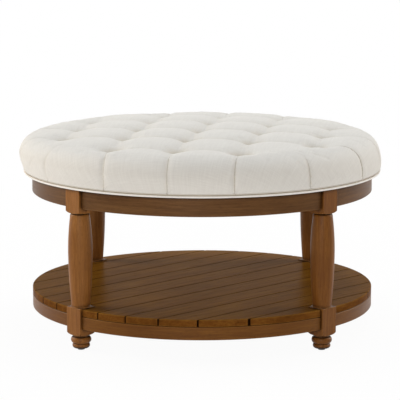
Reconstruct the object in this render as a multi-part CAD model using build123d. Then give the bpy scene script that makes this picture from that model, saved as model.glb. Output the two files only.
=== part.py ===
"""Round ottoman coffee table: tufted seat on four turned legs, with a round plank shelf.

Millimetres, +Z up. The origin is on the floor under the middle of the table, and the front is -Y.
The legs stand at 45 degrees to the axes, and each leg's own frame has +X pointing outwards.
"""
from build123d import *
from math import atan2, cos, hypot, radians, sin, sqrt
import os

# Rings of the wooden frame
shelf_radius = 432.0
apron_radius = 430.0
rail_thickness = 22.0
apron_thickness = 20.0
edge_ease = 1.5

# Heights of the frame
glide_thickness = 4.5
rail_bottom = 55.0
rail_height = 32.0
plank_thickness = 17.5
apron_bottom = 350.0
apron_height = 48.0

# Legs, each turned from one square blank
leg_circle = 413.0
block_width = 49.0
block_stand = 2.0
block_ease = 1.2
foot_top = 34.0
lower_block_bottom = 38.0
pommel_height = 8.0
pommel_bow_shares = (0.67, 0.33)
upper_neck_length = 13.0
foot_base_radius = 17.0
lower_bead_radius = 21.5
lower_bead_height = 11.5
bead_groove_radius = 19.2
bead_groove_height = 16.5
upper_bead_radius = 24.8
upper_bead_height = 26.5
foot_neck_radius = 19.5
block_neck_radius = 20.0
shaft_foot_radius = 22.9
shaft_low_radius = 27.6
shaft_low_height = 175.0
shaft_belly_radius = 29.6
shaft_belly_height = 240.0
shaft_high_radius = 28.0
shaft_high_height = 288.0
shaft_shoulder_radius = 24.2
shaft_shoulder_height = 327.0
shaft_cove = 2.5
neck_bow_shares = (0.33, 0.67)

# Glides nailed under the feet
glide_radius = 9.0
glide_ease = 1.0
nail_radius = 1.1
nail_head_radius = 3.5
nail_head_thickness = 1.0
nail_recess = 0.5
nail_length = 24.0

# Mortise and tenon joints
tenon_thickness = 10.0
tenon_length = 17.0
tenon_root = 10.0
tenon_offset = 6.0
apron_tenon_height = 30.0
rail_tenon_height = 20.0
joint_fit = 0.15
mortise_spare = 0.5

# Shelf planks and battens
plank_angle = 45.0
plank_pitch = 75.0
planks_each_side = 6
seam_gap = 1.5
notch_fit = 0.5
batten_width = 45.0
batten_thickness = 20.0
batten_place = 200.0
batten_fit = 0.3

# Corner braces behind the leg tops
brace_depth = 34.0
brace_length = 210.0
brace_height = 36.0
brace_fit = 0.3

# Hanger bolts through the braces
bolt_radius = 4.0
bolt_in_leg = 22.0
bolt_stub = 12.0
washer_radius = 10.0
washer_thickness = 1.6
nut_flats = 13.0
nut_thickness = 6.5
bolt_hole_fit = 0.4
thread_fit = 0.1

# Wood screws
screw_radius = 2.0
screw_head_radius = 4.2
screw_point = 4.0
screw_fit = 0.1
batten_screw_length = 32.0
rail_screw_length = 44.0
apron_screw_length = 62.0
seat_screw_length = 50.0
rail_screw_spread = 120.0
apron_screw_spread = 75.0
seat_screw_spread = 45.0

# Seat board, cover and foam
fabric_thickness = 1.4
flange_thickness = 0.8
board_thickness = 15.0
board_fit = 0.3
foam_fit = 0.5
hem_inner_radius = 396.0
dust_cover_thickness = 0.8
dust_cover_fit = 0.4
wall_radius = 445.4

# Outer form of the cushion
seat_top = 508.0
crown_mid_drop = 4.2
shoulder_radius = 408.0
shoulder_drop = 17.0
round_radius = 436.5
round_height = 480.5
bulge_radius = 457.0
bulge_height = 441.0
tuck_radius = 455.0
tuck_height = 421.0
skirt_radius = 450.4

# Welt round the foot of the cushion
welt_radius = 2.8
welt_ring_radius = 448.5
welt_wall = 0.8
welt_cord_radius = 1.9
flange_inner_radius = 416.0

# Tufts on a turned square grid, and the pleats between them
tuft_pitch = 157.0
tuft_angle = -10.7
tuft_shift_x = -3.0
tuft_shift_y = 2.0
tufts_each_way = 2
dimple_depth = 42.0
dimple_floor_radius = 6.5
dimple_mouth_radius = 32.0
dimple_throat_radius = 13.0
dimple_throat_drop = 16.0
pleat_width = 62.0
pleat_depth = 12.0
tuft_pleat_depth = 22.0
shoulder_pleat_width = 34.0
shoulder_pleat_depth = 9.0
side_pleat_width = 9.0
side_pleat_depth = 4.5
foot_pleat_depth = 2.5
pleat_lift = 2.0
pleat_headroom = 8.0
outer_pleat_turn = 3.5
corner_pleat_turn = 0.7
shoulder_station_shares = (0.25, 0.5, 0.75, 1.0)
corner_line_shares = (0.2, 0.45)
corner_fade_share = 0.7
arc_share = 0.5
arc_drop_share = 0.25

# Tufting twine, clips and washers inside the cushion
twine_radius = 1.25
twine_hole_radius = 2.0
knot_radius = 3.0
knot_thickness = 0.8
clip_radius = 6.0
clip_thickness = 2.0
tuft_washer_radius = 9.0
tuft_washer_thickness = 2.0
twine_bore_radius = 1.5
tuft_clearance = 0.3

# Staples that hold the cover under the board
staple_width = 10.0
staple_leg_length = 8.0
staple_wire_radius = 0.45
staple_place = 403.0
staple_hole_fit = 0.1
staples_each_side = 6
staple_step = 10.0

overrun = 5.0

# Places worked out from the sizes above
half_block = block_width / 2
rail_top = rail_bottom + rail_height
shelf_top = rail_top + plank_thickness
lower_block_top = shelf_top + block_stand
apron_top = apron_bottom + apron_height
upper_neck_height = apron_bottom - upper_neck_length
rail_inner_radius = shelf_radius - rail_thickness
apron_inner_radius = apron_radius - apron_thickness
hem_bottom = apron_top + flange_thickness
board_bottom = hem_bottom + fabric_thickness
board_top = board_bottom + board_thickness
board_radius = wall_radius - fabric_thickness - board_fit
welt_height = apron_top + welt_radius
skirt_height = welt_height + welt_radius + tuft_clearance
shoulder_height = seat_top - shoulder_drop
brace_bottom = apron_top - brace_height
brace_middle = apron_top - brace_height / 2

LEG_ANGLES = {"front_left": 225, "front_right": 315, "back_right": 45, "back_left": 135}
SIDES = {"front": (225, 315), "right": (315, 45), "back": (45, 135), "left": (135, 225)}
BASE = (Align.CENTER, Align.CENTER, Align.MIN)
QUARTER_TURN = 90
HALF_QUARTER = QUARTER_TURN / 2


def at_leg(angle, piece):
    """Moves a piece from a leg's own frame to its place on the table."""
    return Rot(0, 0, angle) * (Pos(leg_circle, 0, 0) * piece)


def turned(outline):
    """Revolves an outline of radius and height about the Z axis."""
    return revolve(Plane.XZ * make_face(outline), Axis.Z)


def disc(radius, bottom, height):
    """A round plate with its foot at a height."""
    return Pos(0, 0, bottom) * Cylinder(radius, height, align=BASE)


def block(length, width, bottom, height):
    """A square-edged block, centred on the Z axis, with its foot at a height."""
    return Pos(0, 0, bottom) * Box(length, width, height, align=BASE)


def blend(first, last, share):
    return first + (last - first) * share


def write(name, solids):
    """Writes one sub-part, from one solid or a group of solids."""
    group = list(solids)
    shape = group[0] if len(group) == 1 else Compound(children=group)
    export_step(shape, os.path.join("parts", name + ".step"))
    print(name, len(group))


# Screws, nails and bolts

def screw(length, spare=0.0):
    """A countersunk wood screw that points up, with its head's face at zero height."""
    shank = screw_radius + spare
    head = screw_head_radius + spare
    top = length + spare
    outline = Polyline((0, 0), (head, 0), (shank, head - shank), (shank, top - screw_point), (0, top), (0, 0))
    return turned(outline)


def lying(piece):
    """Turns a piece that points up so that it points outwards along +X."""
    return Rot(0, 90, 0) * piece


def seat_screw_spots():
    """Places in a leg's frame of the two screws that hold the board."""
    inward = -half_block - brace_depth / 2
    return [Pos(inward, way * seat_screw_spread, brace_bottom) for way in (-1, 1)]


def apron_screw_spots():
    """Places in a leg's frame of the two screws from the brace into the aprons."""
    inward = -half_block - brace_depth
    return [Pos(inward, way * apron_screw_spread, brace_middle) for way in (-1, 1)]


def nail_spot():
    """The place of a glide's nail under a foot."""
    return Pos(0, 0, nail_recess)


# Legs

def squared(outline, bottom, top):
    """A square block with eased edges whose lower end follows a turned outline."""
    bar = extrude(RectangleRounded(block_width, block_width, block_ease), top - bottom)
    bar = chamfer(bar.faces().sort_by(Axis.Z)[-1].edges(), block_ease / 2)
    return turned(outline) & (Pos(0, 0, bottom) * bar)


def block_outline(bottom, top):
    """Outline of a leg block: the lathe rounds its lower corners, and its top is flat."""
    corner = hypot(half_block, half_block) + edge_ease
    start = (block_neck_radius, bottom)
    out, rise = pommel_bow_shares
    middle = (blend(block_neck_radius, corner, out), bottom + pommel_height * rise)
    end = (corner, bottom + pommel_height)
    curve = ThreePointArc(start, middle, end)
    return curve + Polyline(end, (corner, top), (0, top), (0, bottom), start)


def foot_outline():
    """Outline of the turned foot, with its two beads and the groove between."""
    base = (foot_base_radius, glide_thickness)
    groove = (bead_groove_radius, bead_groove_height)
    neck = (foot_neck_radius, foot_top)
    end = (block_neck_radius, lower_block_bottom)
    lower = ThreePointArc(base, (lower_bead_radius, lower_bead_height), groove)
    upper = ThreePointArc(groove, (upper_bead_radius, upper_bead_height), neck)
    close = Polyline(neck, end, (0, lower_block_bottom), (0, glide_thickness), base)
    return lower + upper + close


def shaft_outline():
    """Outline of the turned shaft, which swells to a belly above its middle."""
    foot = (shaft_foot_radius + shaft_cove, lower_block_top)
    start = (shaft_foot_radius, lower_block_top + shaft_cove)
    belly = (shaft_belly_radius, shaft_belly_height)
    shoulder = (shaft_shoulder_radius, shaft_shoulder_height)
    neck = (block_neck_radius, upper_neck_height)
    cove = RadiusArc(foot, start, -shaft_cove)
    lower = ThreePointArc(start, (shaft_low_radius, shaft_low_height), belly)
    upper = ThreePointArc(belly, (shaft_high_radius, shaft_high_height), shoulder)
    middle = tuple(blend(low, high, share) for low, high, share in zip(shoulder, neck, neck_bow_shares))
    top = ThreePointArc(shoulder, middle, neck)
    close = Polyline(neck, (0, upper_neck_height), (0, lower_block_top), foot)
    return cove + lower + upper + top + close


def tenon(way, bottom, height, spare=0.0, deep=0.0):
    """A tenon, or with spare room its mortise, on one side of a leg block."""
    inner = half_block - tenon_length - deep
    outer = half_block + tenon_root
    middle = (inner + outer) / 2
    piece = Box(tenon_thickness + 2 * spare, outer - inner, height + 2 * spare)
    return Pos(tenon_offset, way * middle, bottom + height / 2) * piece


def apron_tenon(way, spare=0.0, deep=0.0):
    bottom = apron_bottom + (apron_height - apron_tenon_height) / 2
    return tenon(way, bottom, apron_tenon_height, spare, deep)


def rail_tenon(way, spare=0.0, deep=0.0):
    bottom = rail_bottom + (rail_height - rail_tenon_height) / 2
    return tenon(way, bottom, rail_tenon_height, spare, deep)


def hanger_bolt(spare=0.0):
    """The bolt's shank in a leg's frame, from its stub behind the brace to its end in the leg."""
    length = bolt_stub + brace_depth + bolt_in_leg + spare
    start = -half_block - brace_depth - bolt_stub
    return Pos(start, 0, brace_middle) * lying(Cylinder(bolt_radius + spare, length, align=BASE))


def nail(spare=0.0):
    """A glide's nail with its flat head down."""
    head = Cylinder(nail_head_radius + spare, nail_head_thickness, align=BASE)
    return nail_spot() * (head + Cylinder(nail_radius + spare, nail_length + spare, align=BASE))


def leg():
    """One leg in its own frame."""
    body = turned(foot_outline())
    body += squared(block_outline(lower_block_bottom, lower_block_top), lower_block_bottom, lower_block_top)
    body += turned(shaft_outline())
    body += squared(block_outline(upper_neck_height, apron_top), upper_neck_height, apron_top)
    for way in (-1, 1):
        body -= apron_tenon(way, joint_fit, mortise_spare)
        body -= rail_tenon(way, joint_fit, mortise_spare)
    body -= hanger_bolt(thread_fit)
    body -= nail(screw_fit)
    return body


def glide():
    """A plastic glide with a pocket for the nail's head."""
    low = glide_radius - glide_ease
    outline = Polyline((0, 0), (low, 0), (glide_radius, glide_ease), (glide_radius, glide_thickness),
                       (0, glide_thickness), (0, 0))
    pocket = Cylinder(nail_head_radius + screw_fit, nail_recess + nail_head_thickness, align=BASE)
    return turned(outline) - pocket - nail(screw_fit)


# Curved aprons and shelf rails

def ring(outer, inner, bottom, top):
    """A ring with eased outer edges."""
    eased = outer - edge_ease
    outline = Polyline((inner, bottom), (eased, bottom), (outer, bottom + edge_ease), (outer, top - edge_ease),
                       (eased, top), (inner, top), (inner, bottom))
    return turned(outline)


def ring_quarters(blank, bottom, height, tenon_piece):
    """Cuts a ring at the leg blocks and gives each quarter a tenon at both ends."""
    slot = block(block_width * 2, block_width, bottom - overrun, height + 2 * overrun)
    for angle in LEG_ANGLES.values():
        blank -= at_leg(angle, slot)
    quarters = {}
    for side, (first, last) in SIDES.items():
        middle = radians(first + HALF_QUARTER)
        nearest = max(blank.solids(), key=lambda s: s.center().X * cos(middle) + s.center().Y * sin(middle))
        quarters[side] = nearest + at_leg(first, tenon_piece(1)) + at_leg(last, tenon_piece(-1))
    return quarters


def aprons():
    blank = ring(apron_radius, apron_inner_radius, apron_bottom, apron_top)
    quarters = ring_quarters(blank, apron_bottom, apron_height, apron_tenon)
    holes = [at_leg(angle, spot * lying(screw(apron_screw_length, screw_fit)))
             for angle in LEG_ANGLES.values() for spot in apron_screw_spots()]
    return {side: quarter - holes for side, quarter in quarters.items()}


def rail_screw_spots():
    """Places under the shelf rails of the screws into the two outermost planks."""
    middle = shelf_radius - rail_thickness / 2
    out = sqrt(middle ** 2 - rail_screw_spread ** 2)
    return [Rot(0, 0, plank_angle) * Pos(along * rail_screw_spread, across * out, rail_bottom)
            for along in (-1, 1) for across in (-1, 1)]


def shelf_rails():
    blank = ring(shelf_radius, rail_inner_radius, rail_bottom, rail_top)
    quarters = ring_quarters(blank, rail_bottom, rail_height, rail_tenon)
    holes = [spot * screw(rail_screw_length, screw_fit) for spot in rail_screw_spots()]
    return {side: quarter - holes for side, quarter in quarters.items()}


# Shelf planks and battens

def batten_screw_spots(along):
    """Places along one batten of the screws into the planks that it crosses."""
    reach = sqrt((rail_inner_radius - batten_fit) ** 2 - (abs(along) + batten_width / 2) ** 2)
    middles = [(count + 1 / 2) * plank_pitch for count in range(-planks_each_side, planks_each_side)]
    return [Pos(along, middle, rail_top - batten_thickness) for middle in middles
            if abs(middle) + screw_head_radius < reach]


def shelf_disc():
    """The round outline that all the planks are cut to, with eased rims."""
    eased = shelf_radius - edge_ease
    outline = Polyline((0, rail_top), (eased, rail_top), (shelf_radius, rail_top + edge_ease),
                       (shelf_radius, shelf_top - edge_ease), (eased, shelf_top), (0, shelf_top), (0, rail_top))
    return turned(outline)


def planks():
    """Planks with eased long edges, from one side of the shelf to the other."""
    notch = block(block_width + 2 * notch_fit, block_width + 2 * notch_fit, rail_top - overrun,
                  plank_thickness + 2 * overrun)
    cuts = [Rot(0, 0, turn - plank_angle) * (Pos(leg_circle, 0, 0) * notch) for turn in LEG_ANGLES.values()]
    for along in (-batten_place, batten_place):
        cuts += [spot * screw(batten_screw_length, screw_fit) for spot in batten_screw_spots(along)]
    rail_holes = [spot * screw(rail_screw_length, screw_fit) for spot in rail_screw_spots()]
    cuts += [Rot(0, 0, -plank_angle) * hole for hole in rail_holes]
    made = []
    for count in range(-planks_each_side, planks_each_side):
        low = count * plank_pitch + seam_gap / 2
        high = (count + 1) * plank_pitch - seam_gap / 2
        outline = Polyline((low, rail_top), (high, rail_top), (high, shelf_top - edge_ease),
                           (high - edge_ease, shelf_top), (low + edge_ease, shelf_top),
                           (low, shelf_top - edge_ease), (low, rail_top))
        strip = extrude(Plane.YZ * make_face(outline), shelf_radius + overrun, both=True)
        plank = (strip & shelf_disc()) - cuts
        made.append(Rot(0, 0, plank_angle) * plank)
    return made


def batten(along):
    """A batten across the planks, with its ends cut round to the rails."""
    bottom = rail_top - batten_thickness
    bar = Pos(along, 0, 0) * block(batten_width, 2 * rail_inner_radius, bottom, batten_thickness)
    bar &= disc(rail_inner_radius - batten_fit, bottom, batten_thickness)
    bar -= [spot * screw(batten_screw_length, screw_fit) for spot in batten_screw_spots(along)]
    return Rot(0, 0, plank_angle) * bar


def batten_screws():
    return [Rot(0, 0, plank_angle) * (spot * screw(batten_screw_length))
            for along in (-batten_place, batten_place) for spot in batten_screw_spots(along)]


# Corner braces

def corner_brace():
    """A brace in a leg's frame: it lies behind the block and reaches both aprons."""
    inner = -half_block - brace_depth
    outer = apron_inner_radius - leg_circle
    piece = Pos((inner + outer) / 2, 0, 0) * block(outer - inner, brace_length, brace_bottom, brace_height)
    piece &= Pos(-leg_circle, 0, 0) * disc(apron_inner_radius - brace_fit, brace_bottom, brace_height)
    room = block_width + 2 * brace_fit
    piece -= block(room, room, brace_bottom - overrun, brace_height + 2 * overrun)
    piece -= hanger_bolt(bolt_hole_fit)
    piece -= [spot * screw(seat_screw_length, screw_fit) for spot in seat_screw_spots()]
    piece -= [spot * lying(screw(apron_screw_length, screw_fit)) for spot in apron_screw_spots()]
    return piece


def bolt_washer():
    face = -half_block - brace_depth - washer_thickness
    flat = Cylinder(washer_radius, washer_thickness, align=BASE)
    flat -= Cylinder(bolt_radius + bolt_hole_fit, washer_thickness, align=BASE)
    return Pos(face, 0, brace_middle) * lying(flat)


def bolt_nut():
    face = -half_block - brace_depth - washer_thickness - nut_thickness
    hexagon = extrude(RegularPolygon(nut_flats / 2, 6, major_radius=False), nut_thickness)
    hexagon -= Cylinder(bolt_radius + thread_fit, nut_thickness, align=BASE)
    return Pos(face, 0, brace_middle) * lying(hexagon)


# The cushion's outer form, worked out as circles through named points

def circle_through(first, second, third):
    """Centre and radius of the circle through three points of radius and height."""
    (ax, ay), (bx, by), (cx, cy) = first, second, third
    turn = 2 * (ax * (by - cy) + bx * (cy - ay) + cx * (ay - by))
    a, b, c = ax ** 2 + ay ** 2, bx ** 2 + by ** 2, cx ** 2 + cy ** 2
    x = (a * (by - cy) + b * (cy - ay) + c * (ay - by)) / turn
    y = (a * (cx - bx) + b * (ax - cx) + c * (bx - ax)) / turn
    return x, y, hypot(ax - x, ay - y)


def crown_points(inset):
    middle = (shoulder_radius / 2, seat_top - crown_mid_drop - inset)
    return (0, seat_top - inset), middle, (shoulder_radius, shoulder_height - inset)


def round_points(inset):
    slant = inset * sqrt(1 / 2)
    middle = (round_radius - slant, round_height - slant)
    return (shoulder_radius, shoulder_height - inset), middle, (bulge_radius - inset, bulge_height)


def side_points(inset):
    middle = (tuck_radius - inset, tuck_height)
    return (bulge_radius - inset, bulge_height), middle, (skirt_radius - inset, skirt_height + inset)


def on_top(radius):
    """Height of the uncut cushion at a radius, and the outward direction there."""
    points = crown_points(0) if radius < shoulder_radius else round_points(0)
    x, y, size = circle_through(*points)
    height = y + sqrt(max(size ** 2 - (radius - x) ** 2, 0))
    return radius, height, (radius - x) / size, (height - y) / size


def on_round(share):
    """A place on the rounded shoulder, from its inner edge at 0 to the bulge at 1."""
    first, middle, last = round_points(0)
    x, y, size = circle_through(first, middle, last)
    start, end = atan2(first[1] - y, first[0] - x), atan2(last[1] - y, last[0] - x)
    turn = start + (end - start) * share
    return x + size * cos(turn), y + size * sin(turn), cos(turn), sin(turn)


def on_side(height):
    """Radius of the uncut cushion at a height on its side, and the outward direction there."""
    x, y, size = circle_through(*side_points(0))
    radius = x + sqrt(size ** 2 - (height - y) ** 2)
    return radius, height, (radius - x) / size, (height - y) / size


def plain_form(inset):
    """The cushion without its tufts, drawn in by an inset, with the step that the welt lies under."""
    top, side = crown_points(inset), side_points(inset)
    curves = ThreePointArc(*top) + ThreePointArc(*round_points(inset)) + ThreePointArc(*side)
    wall = wall_radius - inset
    step = skirt_height + inset
    foot = hem_bottom + inset
    return turned(curves + Polyline(side[2], (wall, step), (wall, foot), (0, foot), top[0]))


# Tufts and pleats

def tuft_spots():
    """Plan positions of the deep tufts: a square grid without its four corners."""
    spots = []
    for i in range(-tufts_each_way, tufts_each_way + 1):
        for j in range(-tufts_each_way, tufts_each_way + 1):
            if abs(i) + abs(j) < 2 * tufts_each_way:
                spots.append(grid_place(i, j))
    return spots


def grid_place(i, j):
    """Plan position of a point of the tuft grid."""
    turn = radians(tuft_angle)
    x = tuft_shift_x + tuft_pitch * (i * cos(turn) - j * sin(turn))
    y = tuft_shift_y + tuft_pitch * (i * sin(turn) + j * cos(turn))
    return x, y


def dimple_floor(spot):
    """Height of the bottom of the dimple at a tuft."""
    return on_top(hypot(*spot))[1] - dimple_depth


def dimple(spot, grow):
    """The funnel that a tuft pulls into the cushion, larger by the amount given."""
    low = dimple_floor(spot) - grow
    high = low + dimple_depth + overrun + grow
    floor = (dimple_floor_radius + grow, low)
    throat = (dimple_throat_radius + grow, high - dimple_throat_drop)
    mouth = (dimple_mouth_radius + grow, high)
    outline = ThreePointArc(floor, throat, mouth) + Polyline(mouth, (0, high), (0, low), floor)
    return Pos(spot[0], spot[1], 0) * turned(outline)


def pleat(path, grow):
    """A groove along stations of plan position, skin data, half width and depth."""
    points = [Vector(x, y, skin[1]) for x, y, skin, width, depth in path]
    sections = []
    for count, (x, y, skin, width, depth) in enumerate(path):
        before, after = points[max(count - 1, 0)], points[min(count + 1, len(points) - 1)]
        azimuth = atan2(y, x)
        outward = Vector(skin[2] * cos(azimuth), skin[2] * sin(azimuth), skin[3])
        along = after - before
        along = (along - outward * along.dot(outward)).normalized()
        plane = Plane(origin=points[count], x_dir=outward.cross(along), z_dir=along)
        half, low = width + grow, -depth - grow
        bow_x, bow_y = half * arc_share, pleat_lift - (pleat_lift - low) * arc_drop_share
        left = ThreePointArc((-half, pleat_lift), (-bow_x, bow_y), (0, low))
        right = ThreePointArc((0, low), (bow_x, bow_y), (half, pleat_lift))
        top = Polyline((half, pleat_lift), (half, pleat_headroom), (-half, pleat_headroom), (-half, pleat_lift))
        sections.append(plane * make_face(left + right + top))
    return loft(sections, ruled=True)


def pleat_tail(tuft_radius, ends_at_corner):
    """Skin data, half width and depth of the outer stations of a pleat line, from its last tuft down."""
    half_way = on_top((tuft_radius + shoulder_radius) / 2)
    tail = [(half_way, (pleat_width + shoulder_pleat_width) / 2, (pleat_depth + shoulder_pleat_depth) / 2)]
    if ends_at_corner:
        tail += [(on_round(share), shoulder_pleat_width, shoulder_pleat_depth) for share in corner_line_shares]
        return tail + [(on_round(corner_fade_share), shoulder_pleat_width, -pleat_lift / 2)]
    tail += [(on_round(share), blend(shoulder_pleat_width, side_pleat_width, share),
              blend(shoulder_pleat_depth, side_pleat_depth, share)) for share in shoulder_station_shares]
    tail.append((on_side(tuck_height), side_pleat_width, side_pleat_depth))
    return tail + [(on_side(skirt_height - overrun), side_pleat_width, foot_pleat_depth)]


def rim_place(tuft, heading, radius):
    """Plan position at a radius, on the straight run from a tuft in a heading."""
    along = tuft[0] * cos(heading) + tuft[1] * sin(heading)
    run = sqrt(along ** 2 + radius ** 2 - tuft[0] ** 2 - tuft[1] ** 2) - along
    return tuft[0] + run * cos(heading), tuft[1] + run * sin(heading)


def lattice_line(turn, offset, tufts, ends_at_corner):
    """Stations of one pleat line that runs through a row of tufts, from rim to rim. Past the last
    tufts it turns a little, unless it ends at a corner of the grid."""
    def spot(along):
        return along * cos(turn) - offset * sin(turn), along * sin(turn) + offset * cos(turn)

    path = []
    for count, place in enumerate(tufts):
        path.append((*spot(place), on_top(hypot(place, offset)), pleat_width, tuft_pleat_depth))
        if count + 1 < len(tufts):
            middle = place + tuft_pitch / 2
            path.append((*spot(middle), on_top(hypot(middle, offset)), pleat_width, pleat_depth))
    heading = turn if ends_at_corner else turn + radians(outer_pleat_turn)
    ends = (tufts[0], heading + radians(2 * QUARTER_TURN)), (tufts[-1], heading)
    tails = [[(*rim_place(spot(place), way, skin[0]), skin, width, depth)
              for skin, width, depth in pleat_tail(hypot(*spot(place)), ends_at_corner)] for place, way in ends]
    return tails[0][::-1] + path + tails[1]


def lattice_lines():
    """All ten pleat lines of the grid."""
    turn = radians(tuft_angle)
    across = turn + radians(QUARTER_TURN)
    shift_along = tuft_shift_x * cos(turn) + tuft_shift_y * sin(turn)
    shift_across = tuft_shift_y * cos(turn) - tuft_shift_x * sin(turn)
    lines = []
    for number in range(-tufts_each_way, tufts_each_way + 1):
        last = tufts_each_way - 1 if abs(number) == tufts_each_way else tufts_each_way
        steps = [count * tuft_pitch for count in range(-last, last + 1)]
        short = last < tufts_each_way
        rows = [step + shift_along for step in steps]
        columns = [step + shift_across for step in steps]
        lines.append(lattice_line(turn, number * tuft_pitch + shift_across, rows, short))
        lines.append(lattice_line(across, -number * tuft_pitch - shift_along, columns, short))
    return lines


def corner_pleats():
    """Stations of the four pleats that run down the side, a little round from the grid's corners."""
    start = (on_round(corner_line_shares[0]), shoulder_pleat_width, -pleat_lift / 2)
    stations = [start] + pleat_tail(shoulder_radius, False)[2:]
    paths = []
    for i in (-tufts_each_way, tufts_each_way):
        for j in (-tufts_each_way, tufts_each_way):
            azimuth = atan2(*reversed(grid_place(i, j))) + radians(corner_pleat_turn)
            paths.append([(skin[0] * cos(azimuth), skin[0] * sin(azimuth), skin, width, depth)
                          for skin, width, depth in stations])
    return paths


def tufted_form(inset):
    """The cushion's form with its pleats and tufts, drawn in by an inset."""
    pleats = [pleat(path, inset) for path in lattice_lines() + corner_pleats()]
    dimples = [dimple(spot, inset) for spot in tuft_spots()]
    return plain_form(inset) - (pleats + dimples)


# Seat pieces

def staple_spots():
    """Places round the hem of the staples, clear of the corner braces."""
    spots = []
    for first, _ in SIDES.values():
        start = first + HALF_QUARTER - staple_step * (staples_each_side - 1) / 2
        spots += [Rot(0, 0, start + count * staple_step) * Pos(staple_place, 0, 0)
                  for count in range(staples_each_side)]
    return spots


def staple(spare=0.0):
    """A staple under the hem, with its two legs up into the board."""
    wire = staple_wire_radius + spare
    rise = staple_leg_length + 2 * staple_wire_radius + spare
    crown = Box(2 * wire, staple_width + 2 * wire, 2 * wire)
    prong = Box(2 * wire, 2 * wire, rise, align=BASE)
    legs = [Pos(0, way * staple_width / 2, -wire) * prong for way in (-1, 1)]
    return Pos(0, 0, hem_bottom - staple_wire_radius) * (crown + legs[0] + legs[1])


def seat_screw_holes():
    return [at_leg(angle, spot * screw(seat_screw_length, screw_fit))
            for angle in LEG_ANGLES.values() for spot in seat_screw_spots()]


def seat_board(staple_holes):
    """The plywood board, with holes for the twine and pockets for the tuft washers."""
    board = disc(board_radius, board_bottom, board_thickness)
    pocket_depth = tuft_washer_thickness + knot_thickness + 2 * tuft_clearance
    cuts = []
    for x, y in tuft_spots():
        cuts.append(Pos(x, y, 0) * disc(twine_hole_radius, board_bottom, board_thickness))
        cuts.append(Pos(x, y, 0) * disc(tuft_washer_radius + tuft_clearance, board_bottom, pocket_depth))
    return board - cuts - seat_screw_holes() - staple_holes


def knot_top(spot):
    """Height of the top of a tuft's upper knot, just under the cover."""
    return dimple_floor(spot) - fabric_thickness - tuft_clearance


def clip_bottom(spot):
    return knot_top(spot) - knot_thickness - clip_thickness


def twine(spot):
    """A tuft's twine with a flat knot at each end."""
    top = knot_top(spot)
    low = board_bottom + tuft_clearance
    cord = disc(twine_radius, low, top - low)
    cord += disc(knot_radius, low, knot_thickness)
    cord += disc(knot_radius, top - knot_thickness, knot_thickness)
    return Pos(spot[0], spot[1], 0) * cord


def tuft_clip(spot):
    bottom = clip_bottom(spot)
    flat = disc(clip_radius, bottom, clip_thickness) - disc(twine_bore_radius, bottom, clip_thickness)
    return Pos(spot[0], spot[1], 0) * flat


def tuft_washer(spot):
    bottom = board_bottom + tuft_clearance + knot_thickness
    flat = disc(tuft_washer_radius, bottom, tuft_washer_thickness)
    flat -= disc(twine_bore_radius, bottom, tuft_washer_thickness)
    return Pos(spot[0], spot[1], 0) * flat


def seat_foam():
    """The foam block under the cover, with a channel and a clip's pocket at each tuft."""
    foam = tufted_form(fabric_thickness + foam_fit)
    foam -= disc(bulge_radius + overrun, hem_bottom - overrun, board_top + foam_fit - hem_bottom + overrun)
    for spot in tuft_spots():
        bottom = clip_bottom(spot) - tuft_clearance
        foam -= Pos(spot[0], spot[1], 0) * disc(clip_radius + foam_fit, bottom, dimple_depth)
        foam -= Pos(spot[0], spot[1], 0) * disc(twine_hole_radius, board_top, bottom - board_top)
    return foam


def seat_cover(staple_holes):
    """The fabric cover: a thin tufted shell with a hem turned in under the board."""
    opening = disc(hem_inner_radius, hem_bottom - overrun, overrun + board_thickness)
    return tufted_form(0) - tufted_form(fabric_thickness) - opening - staple_holes


def ring_tube(radius):
    """A round bar bent into the welt's ring."""
    return Pos(0, 0, welt_height) * Torus(welt_ring_radius, radius)


def welt_tape():
    """The flat tape that the welt is sewn to, between hem and apron. It ends where it meets the welt."""
    reach = sqrt(welt_radius ** 2 - (welt_radius - flange_thickness) ** 2)
    tape = disc(welt_ring_radius - reach, apron_top, flange_thickness)
    return tape - disc(flange_inner_radius, apron_top, flange_thickness)


def dust_cover():
    """The thin cloth under the board, inside the hem."""
    sheet = disc(hem_inner_radius - dust_cover_fit, board_bottom - dust_cover_thickness, dust_cover_thickness)
    return sheet - seat_screw_holes()


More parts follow.
